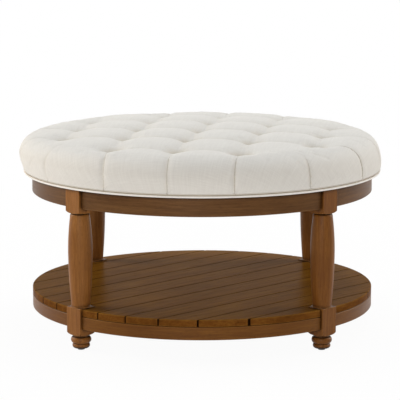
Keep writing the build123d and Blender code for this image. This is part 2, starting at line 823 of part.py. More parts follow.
def main():
    os.makedirs("parts", exist_ok=True)
    one_leg = leg()
    for name, angle in LEG_ANGLES.items():
        write("leg_" + name, [at_leg(angle, one_leg)])
        write("corner_brace_" + name, [at_leg(angle, corner_brace())])
    for name, piece in {"glide_pads": glide(), "glide_nails": nail(), "leg_bolts": hanger_bolt(),
                        "leg_washers": bolt_washer(), "leg_nuts": bolt_nut()}.items():
        write(name, [at_leg(angle, piece) for angle in LEG_ANGLES.values()])
    for side, piece in aprons().items():
        write("apron_" + side, [piece])
    for side, piece in shelf_rails().items():
        write("shelf_rail_" + side, [piece])
    for count, piece in enumerate(planks()):
        write("shelf_plank_%02d" % (count + 1), [piece])
    write("shelf_batten_front_left", [batten(-batten_place)])
    write("shelf_batten_back_right", [batten(batten_place)])
    write("batten_screws", batten_screws())
    write("rail_screws", [spot * screw(rail_screw_length) for spot in rail_screw_spots()])
    write("apron_screws", [at_leg(angle, spot * lying(screw(apron_screw_length)))
                           for angle in LEG_ANGLES.values() for spot in apron_screw_spots()])
    write("seat_screws", [at_leg(angle, spot * screw(seat_screw_length))
                          for angle in LEG_ANGLES.values() for spot in seat_screw_spots()])
    staple_holes = [spot * staple(staple_hole_fit) for spot in staple_spots()]
    write("seat_board", [seat_board(staple_holes)])
    write("cover_staples", [spot * staple() for spot in staple_spots()])
    write("tuft_twines", [twine(spot) for spot in tuft_spots()])
    write("tuft_clips", [tuft_clip(spot) for spot in tuft_spots()])
    write("tuft_washers", [tuft_washer(spot) for spot in tuft_spots()])
    write("dust_cover", [dust_cover()])
    write("welt_cord", [ring_tube(welt_cord_radius)])
    write("welt_cover", [ring_tube(welt_radius) - ring_tube(welt_radius - welt_wall)])
    write("welt_tape", [welt_tape()])
    write("seat_foam", [seat_foam()])
    write("seat_cover", [seat_cover(staple_holes)])


main()
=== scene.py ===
# %% [markdown]
# # Round ottoman coffee table
#
# The real object is a low round table that is also a seat: a deeply tufted linen cushion with a
# corded welt, on a brown lacquered frame of four turned legs, a curved apron and a shelf of
# diagonal planks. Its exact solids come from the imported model, which this lesson loads as a fixed
# frame. Wood, metal and plastic keep those solids and get materials. Soft pieces, which a solid
# only stands in for, are worked out here as surfaces and take the solids' places.
#
# All lengths in the names that end in MM are millimetres. Blender itself works in metres.

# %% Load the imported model
import math

import bpy
import numpy as np
from mathutils import Matrix, Vector


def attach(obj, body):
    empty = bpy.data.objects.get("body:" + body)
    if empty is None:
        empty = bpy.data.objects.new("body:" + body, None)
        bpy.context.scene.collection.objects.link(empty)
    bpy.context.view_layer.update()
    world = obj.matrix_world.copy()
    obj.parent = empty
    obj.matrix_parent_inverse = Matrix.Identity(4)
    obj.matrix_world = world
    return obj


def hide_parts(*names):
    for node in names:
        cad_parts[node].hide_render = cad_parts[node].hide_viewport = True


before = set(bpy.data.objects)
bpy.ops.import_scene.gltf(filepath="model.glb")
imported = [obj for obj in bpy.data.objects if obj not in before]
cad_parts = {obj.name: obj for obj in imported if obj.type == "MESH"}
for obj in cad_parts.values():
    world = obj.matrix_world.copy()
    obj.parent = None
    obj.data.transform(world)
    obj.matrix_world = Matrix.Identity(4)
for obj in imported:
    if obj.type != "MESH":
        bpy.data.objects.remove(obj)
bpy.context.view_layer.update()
MM = 0.001

# %% [markdown]
# ## Camera
#
# A camera could be placed by eye until the picture looks right. Here its place was worked out from
# the ellipses of the shelf, the apron and the cushion in the photograph: circles of known size seen
# from a long way off through a long lens. Height, distance, lens and the small tilt all follow. The
# yaw is the small turn of the camera to the left of the Y axis, and is found from the same rings.

# %% The camera at the photograph's angle
PICTURE_WIDTH = 400
FOCAL_LENGTH_IN_PIXELS = 2064.08
SENSOR_WIDTH_MM = 36.0
CAMERA_PLACE = Vector((0.02956, -5.1786, 1.19547))
YAW = 0.0067
PITCH_DOWN = 0.1678
ROLL = -0.0006

level_side = Vector((math.cos(YAW), math.sin(YAW), 0))
forward = Vector((-math.sin(YAW) * math.cos(PITCH_DOWN), math.cos(YAW) * math.cos(PITCH_DOWN),
                  -math.sin(PITCH_DOWN)))
level_up = level_side.cross(forward)
camera_side = math.cos(ROLL) * level_side + math.sin(ROLL) * level_up
camera_up = math.cos(ROLL) * level_up - math.sin(ROLL) * level_side

camera_data = bpy.data.cameras.new("camera")
camera_data.sensor_width = SENSOR_WIDTH_MM
camera_data.lens = SENSOR_WIDTH_MM * FOCAL_LENGTH_IN_PIXELS / PICTURE_WIDTH
camera_data.clip_end = 200
camera = bpy.data.objects.new("camera", camera_data)
camera.matrix_world = Matrix.Translation(CAMERA_PLACE) @ Matrix(
    (camera_side, camera_up, -forward)).transposed().to_4x4()
bpy.context.scene.collection.objects.link(camera)
bpy.context.scene.camera = camera
print("lens:", round(camera_data.lens, 2), "mm")

# %% [markdown]
# ## Two helpers for materials
#
# Colours are easiest to pick as the hex values that a screen shows, but shaders work in linear
# light, so one function turns them. A node tree could be wired by hand, one line for the node, one
# for each setting and one for each link. One small function that does all three keeps a material
# readable as a list of steps.

# %% Colours and nodes
def linear(hex_colour):
    """The linear colour of an sRGB hex value: c / 12.92 for a dark channel, and otherwise
    ((c + 0.055) / 1.055) to the power of 2.4."""
    channels = np.array([int(hex_colour[place:place + 2], 16) / 255 for place in (1, 3, 5)])
    curve = np.where(channels <= 0.04045, channels / 12.92, ((channels + 0.055) / 1.055) ** 2.4)
    return (*curve.tolist(), 1.0)


def node(tree, kind, inputs=None, stops=None, **settings):
    """Adds a node. Inputs are numbers, colours, sockets of other nodes, or other nodes, which stand
    for their first output in use. Settings are the node's own properties, and stops are the places
    and colours of a colour ramp."""
    made = tree.nodes.new("ShaderNode" + kind)
    for name, value in settings.items():
        setattr(made, name, value)
    for name, value in (inputs or {}).items():
        if isinstance(value, bpy.types.Node):
            value = next(socket for socket in value.outputs if socket.enabled)
        if isinstance(value, bpy.types.NodeSocket):
            tree.links.new(value, made.inputs[name])
        else:
            made.inputs[name].default_value = value
    if stops:
        while len(made.color_ramp.elements) < len(stops):
            made.color_ramp.elements.new(1.0)
        for element, (place, colour) in zip(made.color_ramp.elements, stops):
            element.position = place
            element.color = colour
    return made


def material(name):
    """An empty node material with that name."""
    made = bpy.data.materials.new(name)
    made.use_nodes = True
    made.node_tree.nodes.clear()
    return made, made.node_tree


def finish_with(tree, shader):
    """Links a shader to the material's output."""
    node(tree, "OutputMaterial", {"Surface": shader})


MIX_FIRST, MIX_SECOND = 6, 7
WHITE = (1.0, 1.0, 1.0, 1.0)


def mixed_colour(tree, share, first, second, **settings):
    """Two colours mixed: only the first for a share of 0, and only the second for 1."""
    return node(tree, "Mix", {0: share, MIX_FIRST: first, MIX_SECOND: second}, data_type="RGBA",
                **settings)


print("white is", linear("#FFFFFF"))

# %% [markdown]
# ## Studio
#
# The photograph is a product shot on white. White could come from very strong lamps, but then the
# linen would burn out. Instead the sky and most of the floor are white only where the camera sees
# them, straight or mirrored, through the Light Path node, and the light that falls on the table
# stays at a plain level: a soft sky all round, three low lamps from the front and from behind both
# sides, and one lamp above. Low lamps light the cushion's side, the legs and the shelf, but not the
# bottom of a tuft.

# %% Sky, floor and lamps
SKY_LIGHT = 0.22
FLOOR_HALF_SIZE = 40.0
FLOOR_SHADOW_SHARE = 0.045
FLOOR_SHADOW_REACH = (0.6, 2.2)
LAMP_SIZE = 2.4
LAMPS = {
    "front_lamp": ((-0.7, -5.2, 1.5), "#FFF5EA", 88.0),
    "left_lamp": ((-3.6, 0.8, 1.6), "#FFF5EA", 81.0),
    "right_lamp": ((3.6, 1.2, 1.6), "#FFF5EA", 69.0),
    "top_lamp": ((0.2, 0.6, 4.2), "#F3F8FF", 74.0),
}


def backdrop_rays(tree):
    """1 for rays that come straight from the camera, off a glossy face or through glass, else 0:
    the largest of the three outputs of the Light Path node."""
    seen = node(tree, "LightPath")
    mirrored = node(tree, "Math", {0: seen.outputs["Is Glossy Ray"],
                                   1: seen.outputs["Is Transmission Ray"]}, operation="MAXIMUM")
    return node(tree, "Math", {0: seen.outputs["Is Camera Ray"], 1: mirrored}, operation="MAXIMUM")


scene = bpy.context.scene
scene.view_settings.view_transform = "Standard"
world = bpy.data.worlds.new("studio_sky")
world.use_nodes = True
scene.world = world
sky = world.node_tree
sky.nodes.clear()
light_sky = node(sky, "Background", {"Color": linear("#F6F9FF"), "Strength": SKY_LIGHT})
shown_sky = node(sky, "Background", {"Color": WHITE, "Strength": 1.0})
both_skies = node(sky, "MixShader", {0: backdrop_rays(sky), 1: light_sky, 2: shown_sky})
node(sky, "OutputWorld", {"Surface": both_skies})

floor_mesh = bpy.data.meshes.new("floor")
floor_mesh.from_pydata([(x * FLOOR_HALF_SIZE, y * FLOOR_HALF_SIZE, 0.0)
                        for x, y in ((-1, -1), (1, -1), (1, 1), (-1, 1))], [], [(0, 1, 2, 3)])
floor = bpy.data.objects.new("floor", floor_mesh)
scene.collection.objects.link(floor)

floor_paint, tree = material("white_studio_floor")
matt = node(tree, "BsdfDiffuse", {"Color": linear("#FAFAFA")})
glow = node(tree, "Emission", {"Color": WHITE, "Strength": 1.0})
floor_place = node(tree, "TexCoord").outputs["Object"]
from_middle = node(tree, "VectorMath", {0: floor_place}, operation="LENGTH")
glow_there = node(tree, "MapRange", {0: from_middle.outputs["Value"], 1: FLOOR_SHADOW_REACH[0],
                                     2: FLOOR_SHADOW_REACH[1], 3: 1 - FLOOR_SHADOW_SHARE, 4: 1.0},
                  interpolation_type="SMOOTHSTEP")
glow_share = node(tree, "Math", {0: backdrop_rays(tree), 1: glow_there}, operation="MULTIPLY")
mixed = node(tree, "MixShader", {0: glow_share, 1: matt, 2: glow})
finish_with(tree, mixed)
floor_mesh.materials.append(floor_paint)

for name, (place, tint, power) in LAMPS.items():
    lamp_data = bpy.data.lights.new(name, "AREA")
    lamp_data.shape = "DISK"
    lamp_data.size = LAMP_SIZE
    lamp_data.energy = power
    lamp_data.color = linear(tint)[:3]
    lamp = bpy.data.objects.new(name, lamp_data)
    lamp.location = place
    lamp.rotation_euler = (Vector((0, 0, 0.3)) - Vector(place)).to_track_quat("-Z", "Y").to_euler()
    scene.collection.objects.link(lamp)
print("lamps:", ", ".join(LAMPS))

# %% [markdown]
# ## Stained and lacquered wood
#
# Every wooden piece is a pale hardwood, such as rubberwood, wiped with a brown stain and sprayed
# with satin lacquer. The stain sinks deeper into some fibres than others, which gives streaks along
# the grain, and a little of it gathers in joints and grooves. Their dark lines are painted shade
# with that stain, the dark lines of the plank seams are painted shade, and the light edges are
# painted highlights with some stain rubbed thin. One material function makes every piece, and what
# changes is where the grain runs: up a leg, round an apron, or along a plank. Each has a small
# function that turns Object coordinates into grain coordinates, with X along the grain and Y and Z
# across it, in metres.

# %% Grain directions
def grain_up(tree, place):
    """Grain that runs up the Z axis, as in a turned leg: (z, x, y)."""
    part = node(tree, "SeparateXYZ", {0: place})
    return node(tree, "CombineXYZ", {0: part.outputs[2], 1: part.outputs[0], 2: part.outputs[1]})


def grain_round(turn):
    """Grain that runs round the table: (angle times radius, radius, z). The pattern is turned so
    that the place where the angle starts again lies on the far side of the piece."""
    def grain(tree, place):
        turned = node(tree, "Mapping", {0: place, 2: (0, 0, turn)})
        part = node(tree, "SeparateXYZ", {0: turned})
        angle = node(tree, "Math", {0: part.outputs[1], 1: part.outputs[0]}, operation="ARCTAN2")
        along = node(tree, "Math", {0: angle, 1: APRON_RADIUS_MM * MM}, operation="MULTIPLY")
        flat = node(tree, "CombineXYZ", {0: part.outputs[0], 1: part.outputs[1], 2: 0.0})
        radius = node(tree, "VectorMath", {0: flat}, operation="LENGTH")
        return node(tree, "CombineXYZ", {0: along, 1: radius.outputs["Value"], 2: part.outputs[2]})
    return grain


def grain_straight(turn):
    """Grain that runs level, at an angle to the X axis: the place turned back by that angle."""
    def grain(tree, place):
        return node(tree, "Mapping", {0: place, 2: (0, 0, -turn)})
    return grain


def grain_planks(tree, place):
    """Grain of the shelf: level at 45 degrees, and moved by up to PLANK_SHIFT metres for each
    plank, so that no streak crosses a seam. White noise turns the plank's number into the move."""
    turned = grain_straight(PLANK_ANGLE)(tree, place)
    part = node(tree, "SeparateXYZ", {0: turned})
    count = node(tree, "Math", {0: part.outputs[1], 1: PLANK_PITCH_MM * MM}, operation="DIVIDE")
    whole = node(tree, "Math", {0: count}, operation="FLOOR")
    draw = node(tree, "TexWhiteNoise", {"W": whole}, noise_dimensions="1D")
    shift = node(tree, "VectorMath", {0: draw.outputs["Color"], 1: PLANK_SHIFT},
                 operation="MULTIPLY")
    return node(tree, "VectorMath", {0: turned, 1: shift}, operation="ADD")


PLANK_ANGLE = math.radians(45)
PLANK_PITCH_MM = 75.0
PLANK_SHIFT = (7.0, 5.0, 3.0)
SEAM_HALF_MM = 2.2
APRON_RADIUS_MM = 430.0
print("plank pitch:", PLANK_PITCH_MM, "mm")

# %% [markdown]
# The colour starts from a stretched noise: 12 mm wide and 200 mm long for the stain's broad
# streaks, and 3 mm by 60 mm for the fibres. Real pores are 0.2 mm wide, too fine for this picture,
# so they are drawn 1.5 mm wide. The Ambient Occlusion node finds the joints and grooves, where
# painted shade darkens the colour, and the Bevel node the edges, where a painted highlight
# lightens it and where the sander leaves the stain thin.

# %% The stained wood material
STREAK_MM = (200.0, 12.0)
FIBRE_MM = (60.0, 3.0)
PORE_MM = (14.0, 1.5)
JOINT_SHADE_REACH_MM = 18.0
JOINT_SHADE_OPENNESS = (0.44, 0.88)
EDGE_REACH_MM = 1.6
EDGE_HIGHLIGHT_BEND = (0.995, 0.93)
STAIN_STOPS = (0.34, 0.5, 0.66)


def stretched_noise(tree, grain, size_mm, detail=2.0):
    """Noise with cells of the given length along the grain and width across it."""
    length, width = (size * MM for size in size_mm)
    scaled = node(tree, "VectorMath", {0: grain, 1: (1 / length, 1 / width, 1 / width)},
                  operation="MULTIPLY")
    return node(tree, "TexNoise", {"Vector": scaled, "Scale": 1.0, "Detail": detail,
                                   "Roughness": 0.5}).outputs["Fac"]


def plank_seam_shade(tree, place):
    """Share of the painted shade line where two plank ends meet: 1 on a seam, 0 from SEAM_HALF_MM
    beside it. The distance from the nearest whole plank pitch is a triangle wave of the place across."""
    across = node(tree, "SeparateXYZ", {0: grain_straight(PLANK_ANGLE)(tree, place)}).outputs[1]
    beside = node(tree, "Math", {0: across, 1: PLANK_PITCH_MM / 2 * MM}, operation="PINGPONG")
    return node(tree, "MapRange", {0: beside, 1: 0.6 * SEAM_HALF_MM * MM, 2: SEAM_HALF_MM * MM,
                                   3: 1.0, 4: 0.0})


def stained_wood(name, grain, tones, sawn_tones=None, seam_shade=None, joint_stain_and_shade="#1E0F05", edge="#A87B45",
                 roughness=0.38, gloss=0.14):
    """Hardwood with a wiped brown stain under satin lacquer. Tones are its dark, middle and light
    stain colours, sawn tones are those of its upright faces where they differ, the seam function
    draws painted shade lines along each plank seam, the corner colour is painted shade and some
    stain gathered in corners, and edge is a painted highlight on outer edges and some stain rubbed
    thin there."""
    made, tree = material(name)
    place = node(tree, "TexCoord").outputs["Object"]
    along = grain(tree, place)
    streaks = stretched_noise(tree, along, STREAK_MM)
    fibres = stretched_noise(tree, along, FIBRE_MM, 3.0)
    pores = stretched_noise(tree, along, PORE_MM)
    blotch = node(tree, "TexNoise", {"Vector": place, "Scale": 9.0, "Detail": 1.0}).outputs["Fac"]
    broad = node(tree, "Mix", {0: 0.35, 2: streaks, 3: blotch})
    both = node(tree, "Mix", {0: 0.38, 2: broad, 3: fibres})
    flat = node(tree, "NewGeometry")
    stain, sawn = (node(tree, "ValToRGB", {0: both}, stops=list(zip(STAIN_STOPS, map(linear, run))))
                   for run in (tones, sawn_tones or tones))
    facing = node(tree, "SeparateXYZ", {0: flat.outputs["Normal"]})
    level = node(tree, "Math", {0: facing.outputs[2]}, operation="ABSOLUTE")
    face = mixed_colour(tree, level, sawn, stain)
    pore_mask = node(tree, "MapRange", {0: pores, 1: 0.34, 2: 0.44, 3: 0.82, 4: 1.0})
    pored = mixed_colour(tree, 1.0, face, pore_mask, blend_type="MULTIPLY")
    # Painted shade: near corners and grooves the Ambient Occlusion node darkens the colour towards
    # the corner colour, for shade and some stain gathered there.
    closeness = node(tree, "AmbientOcclusion", {"Distance": JOINT_SHADE_REACH_MM * MM}, samples=8)
    unshaded_share = node(tree, "MapRange", {0: closeness.outputs["AO"], 1: JOINT_SHADE_OPENNESS[0],
                                         2: JOINT_SHADE_OPENNESS[1], 3: 0.0, 4: 1.0})
    corner_shaded = mixed_colour(tree, unshaded_share, linear(joint_stain_and_shade), pored)
    # Painted highlight: on outer edges the colour is lightened towards the edge colour, for a
    # highlight and some stain rubbed thin; the rounded normal itself is real shading.
    eased = node(tree, "Bevel", {"Radius": EDGE_REACH_MM * MM}, samples=6)
    bend = node(tree, "VectorMath", {0: eased, 1: flat.outputs["Normal"]}, operation="DOT_PRODUCT")
    edge_highlight = node(tree, "MapRange", {0: bend.outputs["Value"], 1: EDGE_HIGHLIGHT_BEND[0], 2: EDGE_HIGHLIGHT_BEND[1],
                                     3: 0.0, 4: 0.55})
    open_edge_highlight = node(tree, "Math", {0: edge_highlight, 1: unshaded_share}, operation="MULTIPLY")
    shaded_and_highlighted = mixed_colour(tree, open_edge_highlight, corner_shaded, linear(edge))
    # Painted shade: a dark line along each plank seam, in the corner colour, for the shade in the
    # gap.
    if seam_shade:
        shaded_and_highlighted = mixed_colour(tree, seam_shade(tree, place), shaded_and_highlighted, linear(joint_stain_and_shade))
    relief = node(tree, "Bump", {"Strength": 0.25, "Distance": 0.12 * MM, "Height": fibres,
                                 "Normal": eased})
    shine = node(tree, "MapRange", {0: fibres, 1: 0.3, 2: 0.7, 3: roughness - 0.04,
                                    4: roughness + 0.06})
    lacquer = node(tree, "BsdfPrincipled", {"Base Color": shaded_and_highlighted, "Roughness": shine, "IOR": 1.5,
                                            "Specular IOR Level": gloss, "Normal": relief})
    finish_with(tree, lacquer)
    return made


LEG_TONES = ("#76481E", "#885828", "#996734")
SHADED_LEG_TONES = ("#663B13", "#76491B", "#855625")
APRON_TONES = ("#533517", "#5F3F1F", "#6C4A27")
RAIL_TONES = ("#613910", "#6E4416", "#7C501D")
SHELF_TONES = ("#734A16", "#83581C", "#946725")
PLANK_END_TONES = ("#573513", "#6C4219", "#7F5322")
RAW_TONES = ("#A98658", "#BC9A6B", "#CFAF80")

turned_wood = stained_wood("turned_hardwood_satin_lacquer", grain_up, LEG_TONES)
# Painted shade: a darker copy of the leg stain, for the front right leg, which stands more in shade.
shaded_turned_wood = stained_wood("turned_hardwood_painted_shade", grain_up, SHADED_LEG_TONES)
shelf_wood = stained_wood("plank_hardwood_satin_lacquer", grain_planks, SHELF_TONES,
                          PLANK_END_TONES, plank_seam_shade, roughness=0.3, gloss=0.003)
# The unfinished wood's corner and edge colours are painted shade and painted highlight as well.
raw_wood = stained_wood("unfinished_hardwood", grain_straight(PLANK_ANGLE), RAW_TONES,
                        joint_stain_and_shade="#6E5433", edge="#D8BC90", roughness=0.75, gloss=0.2)
side_turns = {"front": -math.pi / 2, "right": 0.0, "back": math.pi / 2, "left": math.pi}
apron_woods = {side: stained_wood("apron_hardwood_" + side, grain_round(-turn), APRON_TONES)
               for side, turn in side_turns.items()}
rail_woods = {side: stained_wood("rail_hardwood_" + side, grain_round(-turn), RAIL_TONES)
              for side, turn in side_turns.items()}
print("woods:", 4 + len(apron_woods) + len(rail_woods))

# %% [markdown]
# ## Fittings and hidden pieces
#
# Screws, nails, bolts and staples are zinc-plated steel: a grey metal with a slightly uneven,
# brushed-off gloss. The glides and tuft clips are moulded plastic, which is almost even in colour
# with a fine sanded texture. Plywood shows its rotary-cut face and its layered edge. They are small
# or hidden, but seen from below each still looks like what it is.

# %% Metal, plastic, plywood and twine
def speckled(name, colour, spread, size_mm, relief_mm, **shader):
    """A material of one colour, with noise of a real size that varies its tone and its relief."""
    made, tree = material(name)
    place = node(tree, "TexCoord").outputs["Object"]
    grains = node(tree, "TexNoise", {"Vector": place, "Scale": 1 / (size_mm * MM), "Detail": 3.0})
    low, high = (tuple(channel * factor for channel in linear(colour)[:3]) + (1.0,)
                 for factor in (1 - spread, 1 + spread))
    tone = node(tree, "ValToRGB", {0: grains}, stops=[(0.35, low), (0.65, high)])
    relief = node(tree, "Bump", {"Strength": 0.4, "Distance": relief_mm * MM, "Height": grains})
    coat = node(tree, "BsdfPrincipled", {"Base Color": tone, "Normal": relief, **shader})
    finish_with(tree, coat)
    return made


def plywood_board(name):
    """Birch plywood: pale face veneer with long level figure, and 1.5 mm layers on its edge."""
    made, tree = material(name)
    place = node(tree, "TexCoord").outputs["Object"]
    figure = stretched_noise(tree, place, (180.0, 9.0), 3.0)
    face = node(tree, "ValToRGB", {0: figure}, stops=[(0.3, linear("#C9A97A")),
                                                      (0.7, linear("#DCC297"))])
    height = node(tree, "SeparateXYZ", {0: place})
    layer = node(tree, "Math", {0: height.outputs[2], 1: 3 * MM}, operation="PINGPONG")
    band = node(tree, "MapRange", {0: layer, 1: 1.2 * MM, 2: 1.8 * MM, 3: 0.0, 4: 1.0})
    edge = mixed_colour(tree, band, linear("#A88355"), linear("#D3B586"))
    facing = node(tree, "SeparateXYZ", {0: node(tree, "NewGeometry").outputs["Normal"]})
    level = node(tree, "Math", {0: facing.outputs[2]}, operation="ABSOLUTE")
    colour = mixed_colour(tree, level, edge, face)
    finish_with(tree, node(tree, "BsdfPrincipled", {"Base Color": colour, "Roughness": 0.7}))
    return made


zinc_steel = speckled("zinc_plated_steel", "#A9ABAC", 0.08, 1.6, 0.02, Metallic=1.0, Roughness=0.38)
glide_plastic = speckled("black_moulded_nylon", "#1C1A19", 0.15, 0.9, 0.05, Roughness=0.5)
clip_plastic = speckled("white_moulded_acetal", "#DAD8D2", 0.03, 0.9, 0.03, Roughness=0.45)
waxed_twine = speckled("waxed_polyester_twine", "#D8CFB8", 0.10, 0.8, 0.15, Roughness=0.6)
seat_foam = speckled("cut_polyurethane_foam", "#EDE6CF", 0.05, 1.0, 0.20, Roughness=0.9)
seat_plywood = plywood_board("birch_plywood")
print("fitting materials:", 6)

# %% [markdown]
# ## Linen
#
# The cover is a linen-look cloth: plain weave of uneven, slubby yarn, ivory, quite matt, with a
# soft sheen where fibres stand off the surface. The threads are 0.7 mm apart, under a third of a
# pixel, so the weave is drawn 1.9 mm wide, and the slubs, which the photograph shows as a faint
# cross-hatch, are 3 mm wide and 45 mm long. The threads follow the cloth and not the room: they
# read the piece's own UV map, which holds the cloth's flat place in metres.
#
# Two attributes of the surface, its signed distance from the nearest pleat in millimetres and how
# deep a fold is there, draw a painted shade line in each fold, much finer than the mesh. Light that
# bounces between the walls of a tuft takes up the yarn's colour each time, so the tufts look warm.
# Few bounces are rendered, and the Ambient Occlusion node, which measures how closed in a point is,
# stands in for the rest as a painted warm shade in the tufts.

# %% The linen material
THREAD_MM = 1.9
SLUB_MM = (45.0, 2.8)
CREASE_HALF_MM = 1.1
CREASE_SHADE_STRENGTH = 0.65
HOLLOW_REACH_MM = 50.0
HOLLOW_OPENNESS = (0.62, 0.95)
TUFT_SHADE_STRENGTH = 0.85
FUZZ_MM = 1.2
YARN_SPREAD = 0.16


def linen(name, tones, warm="#CDC0A9", crease_shade="#8A7B6A"):
    """Plain-weave linen. Tones are its darker and its lighter yarn colours, warm is the painted
    warm shade in the bottom of a tuft, and crease is the painted shade line in a fold."""
    made, tree = material(name)
    flat = node(tree, "UVMap", uv_map="cloth")
    part = node(tree, "SeparateXYZ", {0: flat})
    across = node(tree, "CombineXYZ", {0: part.outputs[1], 1: part.outputs[0], 2: 0.5})
    warp_slubs = stretched_noise(tree, flat, SLUB_MM)
    weft_slubs = stretched_noise(tree, across, SLUB_MM)
    waves = []
    for side in (0, 1):
        angle = node(tree, "Math", {0: part.outputs[side], 1: 2 * math.pi / (2 * THREAD_MM * MM)},
                     operation="MULTIPLY")
        waves.append(node(tree, "Math", {0: angle}, operation="SINE"))
    over_under = node(tree, "Math", {0: waves[0], 1: waves[1]}, operation="MULTIPLY")
    weave = node(tree, "MapRange", {0: over_under, 1: -1.0, 2: 1.0, 3: 0.0, 4: 1.0})
    slubs = node(tree, "Mix", {0: 0.5, 2: warp_slubs, 3: weft_slubs})
    fuzz = node(tree, "TexNoise", {"Vector": flat, "Scale": 1 / (FUZZ_MM * MM), "Detail": 1.0})
    yarn = node(tree, "Mix", {0: 0.25, 2: slubs, 3: fuzz})
    yarn_and_weave = node(tree, "Mix", {0: 0.10, 2: yarn, 3: weave})
    shade, light = (linear(tone) for tone in tones)
    dyed = node(tree, "ValToRGB", {0: yarn_and_weave}, stops=[(0.5 - YARN_SPREAD, shade),
                                                              (0.5 + YARN_SPREAD, light)])
    # Painted shade: the Ambient Occlusion node turns closed-in places of a tuft towards the warm
    # colour, for shade and bounced light there.
    closeness = node(tree, "AmbientOcclusion", {"Distance": HOLLOW_REACH_MM * MM}, samples=6)
    tuft_shade_share = node(tree, "MapRange", {0: closeness.outputs["AO"], 1: HOLLOW_OPENNESS[0],
                                     2: HOLLOW_OPENNESS[1], 3: TUFT_SHADE_STRENGTH, 4: 0.0})
    colour = mixed_colour(tree, tuft_shade_share, dyed, linear(warm))
    # Painted shade: a thin dark line along each fold, as strong as the fold's share, for the shade in
    # the fold.
    signed = node(tree, "Attribute", attribute_name="pleat_distance").outputs["Fac"]
    from_pleat = node(tree, "Math", {0: signed}, operation="ABSOLUTE")
    line = node(tree, "MapRange", {0: from_pleat, 1: 0.0, 2: CREASE_HALF_MM, 3: CREASE_SHADE_STRENGTH,
                                   4: 0.0}, interpolation_type="SMOOTHSTEP")
    fold = node(tree, "Attribute", attribute_name="fold_share").outputs["Fac"]
    crease_shade_share = node(tree, "Math", {0: line, 1: fold}, operation="MULTIPLY")
    crease_shaded = mixed_colour(tree, crease_shade_share, colour, linear(crease_shade))
    relief = node(tree, "Bump", {"Strength": 0.4, "Distance": 0.3 * MM, "Height": yarn_and_weave})
    cloth = node(tree, "BsdfPrincipled", {"Base Color": crease_shaded, "Roughness": 0.88,
                                          "Specular IOR Level": 0.2, "Sheen Weight": 0.12,
                                          "Sheen Roughness": 0.45, "Sheen Tint": linear("#FFFDF6"),
                                          "Normal": relief})
    finish_with(tree, cloth)
    return made


seat_linen = linen("ivory_slub_linen", ("#DAD8D2", "#E6E5DF"))
# Painted light: the welt is the same cloth as the cushion, but its linen has lighter tones, for the
# light on the round cord.
lit_welt_linen = linen("ivory_linen_bias_strip_painted_light", ("#F0EEE9", "#FAF9F6"), warm="#E6E0D4")
print("linen threads drawn", THREAD_MM, "mm apart")

# %% [markdown]
# ## The cushion's form
#
# The cushion is one cloth pulled over thick foam, stitched down at 21 points on a square grid, and
# drawn over the edge to a hem under the board. It could be sculpted, or inflated from a flat disc.
# Here it starts as a surface with two parameters: a square grid is bent into rings, so that every
# cell has about the same size and no pole pinches the top, and each ring is laid on the cushion's
# side profile. The pleats and tufts are then pressed in along the normals.

# %% The side profile
CROWN_MM = ((0.0, 507.0), (204.0, 503.6), (408.0, 492.0))
SHOULDER_MM = ((408.0, 492.0), (436.0, 480.8), (455.4, 441.0))
FLANK_MM = ((455.4, 441.0), (454.2, 421.0), (451.2, 407.5))
TUCK_MM = ((451.2, 407.5), (449.6, 405.2), (445.6, 404.6))
HEM_MM = ((445.4, 403.0), (445.4, 398.9), (430.0, 398.8), (412.0, 398.8), (396.0, 398.8))
LINING_MM = ((396.0, 400.1), (444.0, 400.1), (444.0, 415.6), (300.0, 415.6), (120.0, 415.6))
RING_STEP_MM = 3.4


def arc_through(points, count):
    """Evenly spaced points on the circle through three points: centre from the two equal distances,
    then the angles from the first point to the last."""
    (ax, ay), (bx, by), (cx, cy) = points
    double_area = 2 * (ax * (by - cy) + bx * (cy - ay) + cx * (ay - by))
    a, b, c = ax ** 2 + ay ** 2, bx ** 2 + by ** 2, cx ** 2 + cy ** 2
    x = (a * (by - cy) + b * (cy - ay) + c * (ay - by)) / double_area
    y = (a * (cx - bx) + b * (ax - cx) + c * (bx - ax)) / double_area
    start, end = math.atan2(ay - y, ax - x), math.atan2(cy - y, cx - x)
    turn = np.linspace(start, end, count)
    size = math.hypot(ax - x, ay - y)
    return np.column_stack((x + size * np.cos(turn), y + size * np.sin(turn)))


def distances(points):
    """Length along a run of points, from its start to each of them."""
    return np.concatenate(([0.0], np.cumsum(np.hypot(*np.diff(points, axis=0).T))))


smooth_run = np.vstack([arc_through(CROWN_MM, 400), arc_through(SHOULDER_MM, 200)[1:],
                        arc_through(FLANK_MM, 80)[1:]])
run_length = distances(smooth_run)
crown_length = run_length[399]
bulge_length = run_length[598]
flank_length = run_length[-1]
ring_count = 2 * int(flank_length / RING_STEP_MM / 2)
even_steps = np.linspace(0, flank_length, ring_count + 1)
profile = np.column_stack([np.interp(even_steps, run_length, smooth_run[:, side])
                           for side in (0, 1)])
profile = np.vstack([profile, arc_through(TUCK_MM, 4)[1:], np.array(HEM_MM)])
ring_length = distances(profile)
RINGS = len(profile) - 1
print("rings:", RINGS, "crown:", round(crown_length), "mm, flank to", round(flank_length), "mm")

# %% [markdown]
# Each point of the square grid belongs to the ring that its larger coordinate names. Its place
# along the square's side becomes an angle, an eighth of a turn from the middle of a side to its
# corner, so squares turn into circles without a seam.

# %% From a square grid to rings
TUFT_PITCH_MM = 157.0
TUFT_ANGLE = math.radians(-10.7)
TUFT_CENTRE_MM = (-3.0, 2.0)


